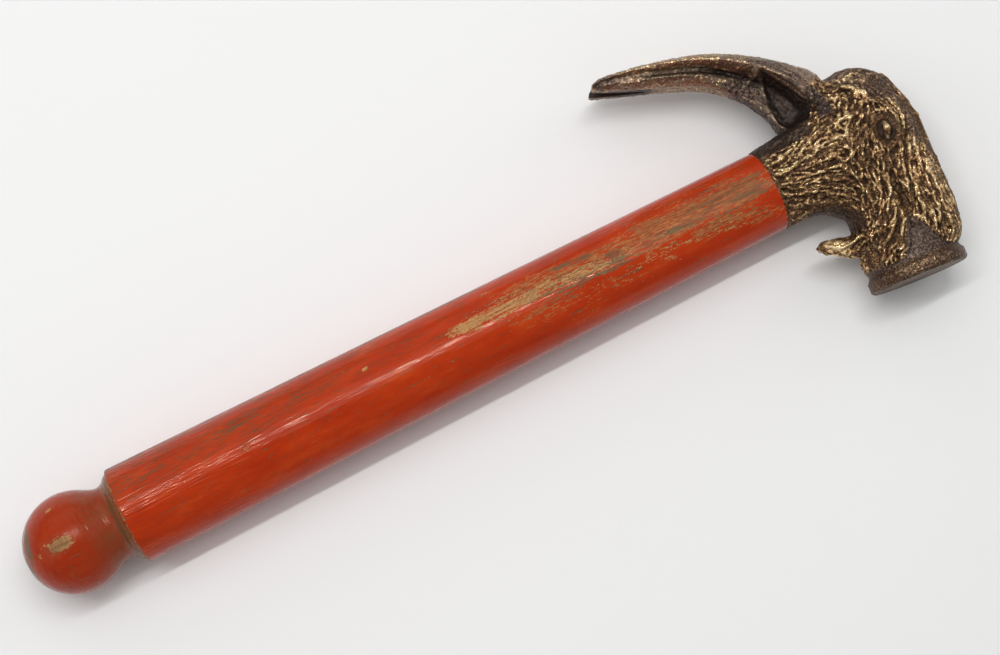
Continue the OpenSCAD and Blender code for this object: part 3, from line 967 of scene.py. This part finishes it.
def brassMaterial():
    mat = makeMaterial("rubbed_brass")
    dust, grit, sparks, hue, fineHue = (
        noise(mat, scale, detail=detail) for scale, detail in brass["noises"].values()
    )
    satin, recess = attribute(mat, "satin"), attribute(mat, "hollow")
    flecked = spread(mat, satin, 0.0, 1.0, (1.0, 0.68))  # fewer flecks on satin and in hollows
    flecked = times(mat, flecked, spread(mat, recess, 0.2, 1.2, (1.0, 0.4)))
    sparks = spread(mat, sparks, 0.58, 0.72, (0.0, 0.5))
    stirred = calc(mat, "ADD", stir(mat, 0.0, (dust, 1.1), (grit, 2.2)), sparks)
    polish = calc(mat, "ADD", attribute(mat, "polish"), times(mat, stirred, flecked))
    skin, plain = (colours(mat, polish, brass[name]) for name in ("skin", "satin"))
    base = blend(mat, satin, skin, plain)
    tint = colours(mat, stir(mat, hue, (fineHue, 1.1)), brass["tint"])
    base = blend(mat, brass["tintShare"], base, tint, "MULTIPLY")
    dress(mat, {
        "Base Color": blend(mat, recess, base, brass["hollow"], share=brass["hollowShare"]),
        "Metallic": brass["metallic"],
        "Roughness": spread(mat, polish, 0.0, 1.0, brass["roughness"]),
    })
    height = times(mat, stir(mat, grit, (dust, 1.0)), flecked)
    bump(mat, height, brass["bump"], 0.9)
    return mat


castHead = carveHead(remeshHead())
castHead.data.materials.append(brassMaterial())
for polygon in castHead.data.polygons:
    polygon.use_smooth = True
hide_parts("goat_head")
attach(castHead, "root")
print("head done")

grip = {
    "length": 239.6,  # mm, as the other sizes here
    "headRadius": 14.0,
    "endRadius": 16.7,
    "shoulderRound": 1.2,
    "ballRadius": 17.0,
    "ballCentre": -258.0,  # place along the handle
    "ballFlat": 0.7,
    # radius and place along the handle, from the ball to the shoulder
    "neck": [
        (16.02, -252.3), (15.35, -250.6), (14.5, -248.9), (13.62, -247.2), (12.95, -245.6),
        (12.72, -244.2), (13.0, -242.9), (13.75, -241.8), (14.7, -240.9), (15.3, -240.2),
    ],
    "tenonRadius": 8.5,
    "tenonLength": 34.0,
    "tenonBevel": 1.0,
    "slit": {"start": 14.0, "end": 34.0, "halfStart": 0.5, "halfEnd": 1.6, "reach": 10.0},
    "around": 200,
    "tenonAround": 48,
    "spacing": 0.7,
}

# Worn paint by kind: share gone, half width in mm, then the line in photo pixels
paintWear = {
    "bare": [
        (0.8, 2.9, [(453, 333), (466, 327), (480, 320), (497, 311), (517, 302), (546, 289)]),
        (0.58, 4.2, [(480, 320), (500, 310), (524, 298), (550, 287), (580, 275), (612, 261)]),
        (0.4, 4, [(590, 270), (612, 262), (640, 248)]),
        (0.45, 1.4, [(653, 237), (687, 227), (711, 222), (750, 223)]),
        (0.45, 1.2, [(624, 276), (645, 262), (662, 251), (690, 240), (720, 230), (745, 224)]),
        (0.48, 1.5, [(660, 254), (668, 257), (678, 259)]),
        (0.4, 1.3, [(478, 296), (490, 292)]),
        (0.25, 5, [(560, 290), (600, 285), (640, 262)]),
        (0.25, 6, [(690, 214), (730, 196), (765, 186)]),
        (0.6, 2.6, [(596, 269), (612, 262), (628, 255)]),
        (1.5, 2.1, [(54, 548), (60, 545), (67, 541)]),
        (0.55, 1, [(42, 548), (46, 546), (53, 545)]),
        (0.5, 1.2, [(38, 556), (42, 557)]),
        (0.4, 1.4, [(243, 451), (250, 449)]),
        (1, 0.7, [(363, 370), (367, 368)]),
        (0.9, 0.9, [(47, 511), (50, 508)]),
    ],
    "thin": [
        (0.65, 4.5, [(500, 300), (540, 282), (580, 266), (620, 250), (660, 236)]),
        (0.8, 6.5, [(630, 244), (670, 224), (700, 208), (735, 192), (768, 182)]),
        (0.6, 4, [(690, 236), (730, 220), (760, 212), (778, 208)]),
        (0.35, 6, [(520, 320), (560, 302), (600, 288), (640, 268)]),
        # faint stain along the upper side of the left grip: partly dark grain, partly painted
        # reflection of darker surroundings
        (0.12, 4, [(130, 470), (200, 432), (300, 385), (380, 345)]),
    ],
    "grime": [
        (0.75, 1.4, [(551, 271), (572, 262), (592, 254)]),
        (0.65, 1.8, [(578, 283), (590, 277), (602, 273)]),
        (0.75, 1.6, [(606, 252), (616, 260), (626, 264)]),
        (0.6, 1.3, [(666, 234), (684, 226), (704, 218)]),
        (0.65, 1.5, [(700, 212), (722, 203), (745, 196), (770, 188)]),
        (0.55, 1.3, [(690, 222), (715, 215), (745, 207)]),
        (0.42, 4, [(525, 304), (560, 290), (600, 272), (640, 256)]),
        (0.6, 2.6, [(608, 252), (618, 257), (630, 262)]),
        (0.5, 2.2, [(632, 232), (662, 219)]),
        (0.44, 5.5, [(680, 214), (711, 200), (745, 186), (768, 182)]),
        (0.25, 5, [(660, 235), (700, 226), (740, 212), (775, 200)]),
        # darker band along the upper side of the left grip: partly dark grain, partly painted
        # reflection of darker surroundings
        (0.3, 4, [(120, 480), (200, 440), (300, 395)]),
    ],
    "film": [
        (0.6, 3.2, [(50, 550), (60, 545), (69, 541)]),
        (1, 2.2, [(25, 531), (27, 545), (31, 560)]),
    ],
}


# Half outline of the grip and ball: radius and place along the handle
def gripOutline():
    g = grip
    rb, r, neck = g["ballRadius"], g["shoulderRound"], g["neck"]
    shoulder = -g["length"]
    flatAngle = math.acos(1 - g["ballFlat"] / rb)
    neckAngle = math.acos((g["ballCentre"] - neck[0][1] - 0.3) / rb)
    end = g["ballCentre"] - rb + g["ballFlat"]
    rows = [(t * rb * math.sin(flatAngle), end) for t in (0.02, 0.25, 0.5, 0.75)]
    rows += [
        (rb * math.sin(a), g["ballCentre"] - rb * math.cos(a))
        for a in np.linspace(flatAngle, neckAngle, 60)
    ]
    rows += [tuple(p) for p in curveThrough(np.array(neck), 4)[1:]]
    rows += [
        (g["endRadius"] - r + r * math.sin(a), shoulder + r - r * math.cos(a))
        for a in np.linspace(0, math.pi / 2, 8)
    ]
    start = shoulder + r
    n = int(-start / g["spacing"])
    for i in range(1, n):
        t = i / n
        rows.append((g["endRadius"] + (g["headRadius"] - g["endRadius"]) * t, start * (1 - t)))
    rows += [(g["headRadius"], -0.3), (g["headRadius"] - 0.15, 0.0)]
    return rows


# Wear that follows the turning, over places along the handle in mm
gripWear = {
    "edge": (0.35, 0.45),  # place past the shoulder and half width
    "edgeRadius": 14.5,
    "cove": (-1.4, 2.6),
    "collar": (-1.4, -0.2),
    "end": (-270.5, -274.5),
    "neck": (-260, -245),
    "rim": (76, 13),  # degrees from the top, and half width, of a darker band along the upper edge
    "rimFade": (-40, -120),
    "shares": [
        ("bare", 0.6, "edge"), ("bare", 0.4, "collar"), ("film", 0.85, "cove"),
        ("film", 0.55, "edge"), ("film", 0.9, "end"), ("film", 1, "neck"), ("grime", 0.68, "rim"),
    ],
    "knob": (-240.5, -243),
    "brush": (-165, -225),
    "hollow": 0.12,  # mm, as the next
    "grain": 0.05,
}


# Rings of as many points each, joined into one closed surface
def ringMesh(name, rings):
    n, last = len(rings[0]), len(rings) - 1
    faces = [
        (i * n + j, i * n + (j + 1) % n, (i + 1) * n + (j + 1) % n, (i + 1) * n + j)
        for i in range(last) for j in range(n)
    ]
    faces += [tuple(range(n - 1, -1, -1)), tuple(range(last * n, last * n + n))]
    mesh = bpy.data.meshes.new(name)
    mesh.from_pydata((np.concatenate(rings) * mm + home).tolist(), [], faces)
    mesh.update()
    return mesh


# Rows of radius and place, turned round the handle's line
def turned(rows, around):
    turn = np.arange(around) * 2 * math.pi / around
    return [
        np.stack([np.full(around, x), r * np.sin(turn), r * np.cos(turn)], 1) for r, x in rows
    ]


def makeGrip():
    mesh = ringMesh("painted_handle", turned(gripOutline(), grip["around"]))
    obj = addObject("painted_handle", mesh)
    points = readPoints(mesh)
    tree = surfaceTree(mesh)
    worn = {}
    for kind, rows in paintWear.items():
        worn[kind] = np.zeros(len(points))
        for share, width, pixels in rows:
            path = strokePath(tree, pixels, 1.0)
            if path is not None:
                d, along = distanceTo(path, points)
                ends = ramp(0, 0.12, along) * ramp(0, 0.12, 1 - along)
                amount = share * bell(d, 0, width) * (0.6 + 0.4 * ends)
                worn[kind] = np.maximum(worn[kind], amount)
    x, r = points[:, 0], np.hypot(points[:, 1], points[:, 2])
    shoulder = -grip["length"]
    tilt = np.degrees(np.arctan2(points[:, 1], points[:, 2]))  # round the handle, from its top
    wear = gripWear
    masks = {
        "edge": bell(x - shoulder, *wear["edge"]) * (r > wear["edgeRadius"]),
        "cove": bell(x - shoulder, *wear["cove"]) * (x < shoulder + 1),
        "collar": ramp(*wear["collar"], x),
        "end": ramp(*wear["end"], x),
        "neck": (0.12 + 0.4 * ramp(*wear["neck"], x)) * (x < shoulder),
        "rim": bell(tilt, *wear["rim"]) * ramp(*wear["rimFade"], x) * (x > shoulder),
    }
    for kind, share, place in wear["shares"]:
        worn[kind] = np.maximum(worn[kind], share * masks[place])
    worn["knob"] = ramp(*wear["knob"], x)
    worn["brush"] = (0.45 + 0.75 * ramp(*wear["brush"], x)) * (1 - worn["knob"])
    dashes = 0.1 + 0.9 * ramp(2, 18, tilt) * ramp(120, 95, tilt)  # most on the upper side
    worn["dashes"] = dashes * (1 - 0.5 * ramp(-190, -120, x)) * ramp(-240, -238, x)
    for kind, values in worn.items():
        addAttribute(mesh, kind, values)
    # slight hollows where the paint has gone, and along the grain
    outward = points * (0, 1, 1)
    outward /= np.linalg.norm(outward, axis=1, keepdims=True) + 1e-9
    body = ramp(-239.2, -238.0, x) * (1 - ramp(-1.0, 0, x))
    lines = speckle(points * (0.05, 1, 1), 0.9, 51) - 0.5
    sink = wear["hollow"] * ramp(0.35, 0.8, worn["bare"]) + wear["grain"] * lines
    sink = np.maximum(sink, 0) * body
    writePoints(mesh, points - outward * sink[:, None])
    for polygon in mesh.polygons:
        polygon.use_smooth = len(polygon.vertices) == 4
    return obj


# The tenon inside the head, with the saw slit that the wedge opens
def addTenon(obj):
    g = grip
    rows = [
        (g["tenonRadius"], -0.02), (g["tenonRadius"], g["tenonLength"] - g["tenonBevel"]),
        (g["tenonRadius"] - g["tenonBevel"], g["tenonLength"]),
    ]
    tenon = addObject("tenon", ringMesh("tenon", turned(rows, g["tenonAround"])))
    x0, x1, y0, y1, z1 = g["slit"].values()
    corners = [(x0, -y0), (x1, -y1), (x1 + 1, -y1), (x1 + 1, y1), (x1, y1), (x0, y0)]
    rings = [np.array([(x, y, z) for x, y in corners]) for z in (-z1, z1)]
    cutter = addObject("slit", ringMesh("slit", rings))
    cut = tenon.modifiers.new("slit", "BOOLEAN")
    cut.operation = "DIFFERENCE"
    cut.object = cutter
    work = bmesh.new()
    work.from_mesh(obj.data)
    work.from_mesh(appliedMesh(tenon))
    work.to_mesh(obj.data)
    work.free()
    bpy.data.objects.remove(tenon)
    bpy.data.objects.remove(cutter)


# Orange-red paint, worn through to brown stain and tan wood
paint = {
    "coat": [
        (0.3, (0.38, 0.024, 0.003)), (0.55, (0.45, 0.034, 0.004)), (0.75, (0.52, 0.054, 0.008)),
    ],
    "grain": (0.15, 0.045, 0.016),
    "stain": [
        (0.35, (0.13, 0.055, 0.023)), (0.5, (0.35, 0.105, 0.03)), (0.65, (0.47, 0.18, 0.06)),
    ],
    "wood": [(0.3, (0.2, 0.09, 0.03)), (0.45, (0.42, 0.2, 0.075)), (0.65, (0.52, 0.27, 0.1))],
    # deeper red over the ball: painted shade, as the light falls off towards the pommel
    "knob": (0.25, 0.02, 0.004),
    "dirt": (0.11, 0.075, 0.038),
    "film": (0.12, 0.07, 0.03),
    "roughness": (0.07, 0.5),  # of whole and of worn paint
    "specular": 0.23,
    "glint": (1.0, 0.84, 0.66),
    # scale along the handle and both ways across it, detail and roughness
    "noises": {
        "grain": ((50.0, 1200.0, 1200.0), 4.0, 0.65),
        "fibre": ((180.0, 2600.0, 2600.0), 2.0),
        "flake": ((450.0, 1300.0, 1300.0), 4.0, 0.7),
        "crumb": ((1300.0, 2000.0, 2000.0), 3.0, 0.65),
        "blotch": ((60.0, 170.0, 170.0), 4.0),
        "brushed": ((90.0, 1000.0, 1000.0), 1.0),
        "ripples": ((900.0, 280.0, 280.0), 1.0),
    },
    "bump": 0.0002,  # metres
}


def paintMaterial():
    mat = makeMaterial("worn_orange_paint")
    grain, fibre, flake, crumb, blotch, brushed, ripples = (
        noise(mat, 1.0, *row) for row in paint["noises"].values()
    )
    knob = attribute(mat, "knob")
    rough = ((flake, 1.3), (crumb, 1.2), (grain, 1.1), (fibre, 0.9))
    bare = spread(mat, stir(mat, attribute(mat, "bare"), *rough), 0.46, 0.56)
    coat = colours(mat, blotch, paint["coat"])
    # the ball's coat darkened by half towards that deeper red: painted shade
    coat = blend(mat, knob, coat, paint["knob"], share=0.5)
    lines = times(mat, attribute(mat, "dashes"), 0.2)
    lines = spread(mat, stir(mat, lines, (fibre, 1.3), (grain, 0.5)), 0.12, 0.3)
    coat = blend(mat, lines, coat, paint["grain"], share=0.62)
    rough = ((flake, 1.4), (grain, 1.2), (crumb, 0.8), (blotch, 0.8))
    thin = spread(mat, stir(mat, attribute(mat, "thin"), *rough), 0.35, 0.6)
    rough = ((grain, 1.7), (flake, 1.4), (fibre, 2.2))
    dirt = spread(mat, stir(mat, attribute(mat, "grime"), *rough), 0.44, 0.68)
    stain = colours(mat, stir(mat, flake, (fibre, 1.3)), paint["stain"])
    wood = colours(mat, stir(mat, grain, (crumb, 0.8)), paint["wood"])
    surface = blend(mat, thin, coat, stain, share=0.85)
    surface = blend(mat, bare, surface, wood)
    surface = blend(mat, dirt, surface, paint["dirt"], share=0.8)
    film = stir(mat, attribute(mat, "film"), (flake, 0.5), (blotch, 0.6))
    worn = times(mat, calc(mat, "MAXIMUM", thin, dirt), 0.8)
    worn = calc(mat, "MAXIMUM", bare, worn)
    dress(mat, {
        "Base Color": blend(mat, spread(mat, film, 0.05, 1.1), surface, paint["film"]),
        "Roughness": spread(mat, worn, 0.0, 1.0, paint["roughness"]),
        "Specular IOR Level": paint["specular"],
        "Specular Tint": paint["glint"],
    })
    # brush marks on the grip, and the ball's cracked skin
    brushed = times(mat, calc(mat, "SUBTRACT", brushed, 0.5), attribute(mat, "brush"))
    pits = spread(mat, noise(mat, 1100.0, detail=1.0), 0.56, 0.7, (0.0, 0.12))
    cracks = stir(mat, pits, (ripples, 1.3), (noise(mat, 1500.0, detail=1.0), 0.3))
    cracks = times(mat, cracks, knob)
    height = stir(mat, calc(mat, "ADD", brushed, cracks), (grain, 0.08), (bare, -0.4))
    bump(mat, height, paint["bump"], 0.9)
    return mat


paintedHandle = makeGrip()
addTenon(paintedHandle)
paintedHandle.data.materials.append(paintMaterial())
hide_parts("handle")
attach(paintedHandle, "root")
print("handle done")

wedgeWood = {
    "grain": [(0.3, (0.36, 0.2, 0.09)), (0.55, (0.52, 0.33, 0.16)), (0.75, (0.6, 0.41, 0.22))],
    "roughness": 0.65,
    "bump": 0.0001,  # metres
}


def wedgeMaterial():
    mat = makeMaterial("wedge_hardwood")
    grain = noise(mat, 1.0, (90.0, 1600.0, 700.0), detail=4.0)
    base = colours(mat, grain, wedgeWood["grain"])
    dress(mat, {"Base Color": base, "Roughness": wedgeWood["roughness"]})
    bump(mat, grain, wedgeWood["bump"], 0.5)
    return mat


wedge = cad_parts["fox_wedge"]
wedge.data.materials.clear()
wedge.data.materials.append(wedgeMaterial())
print("wedge done")
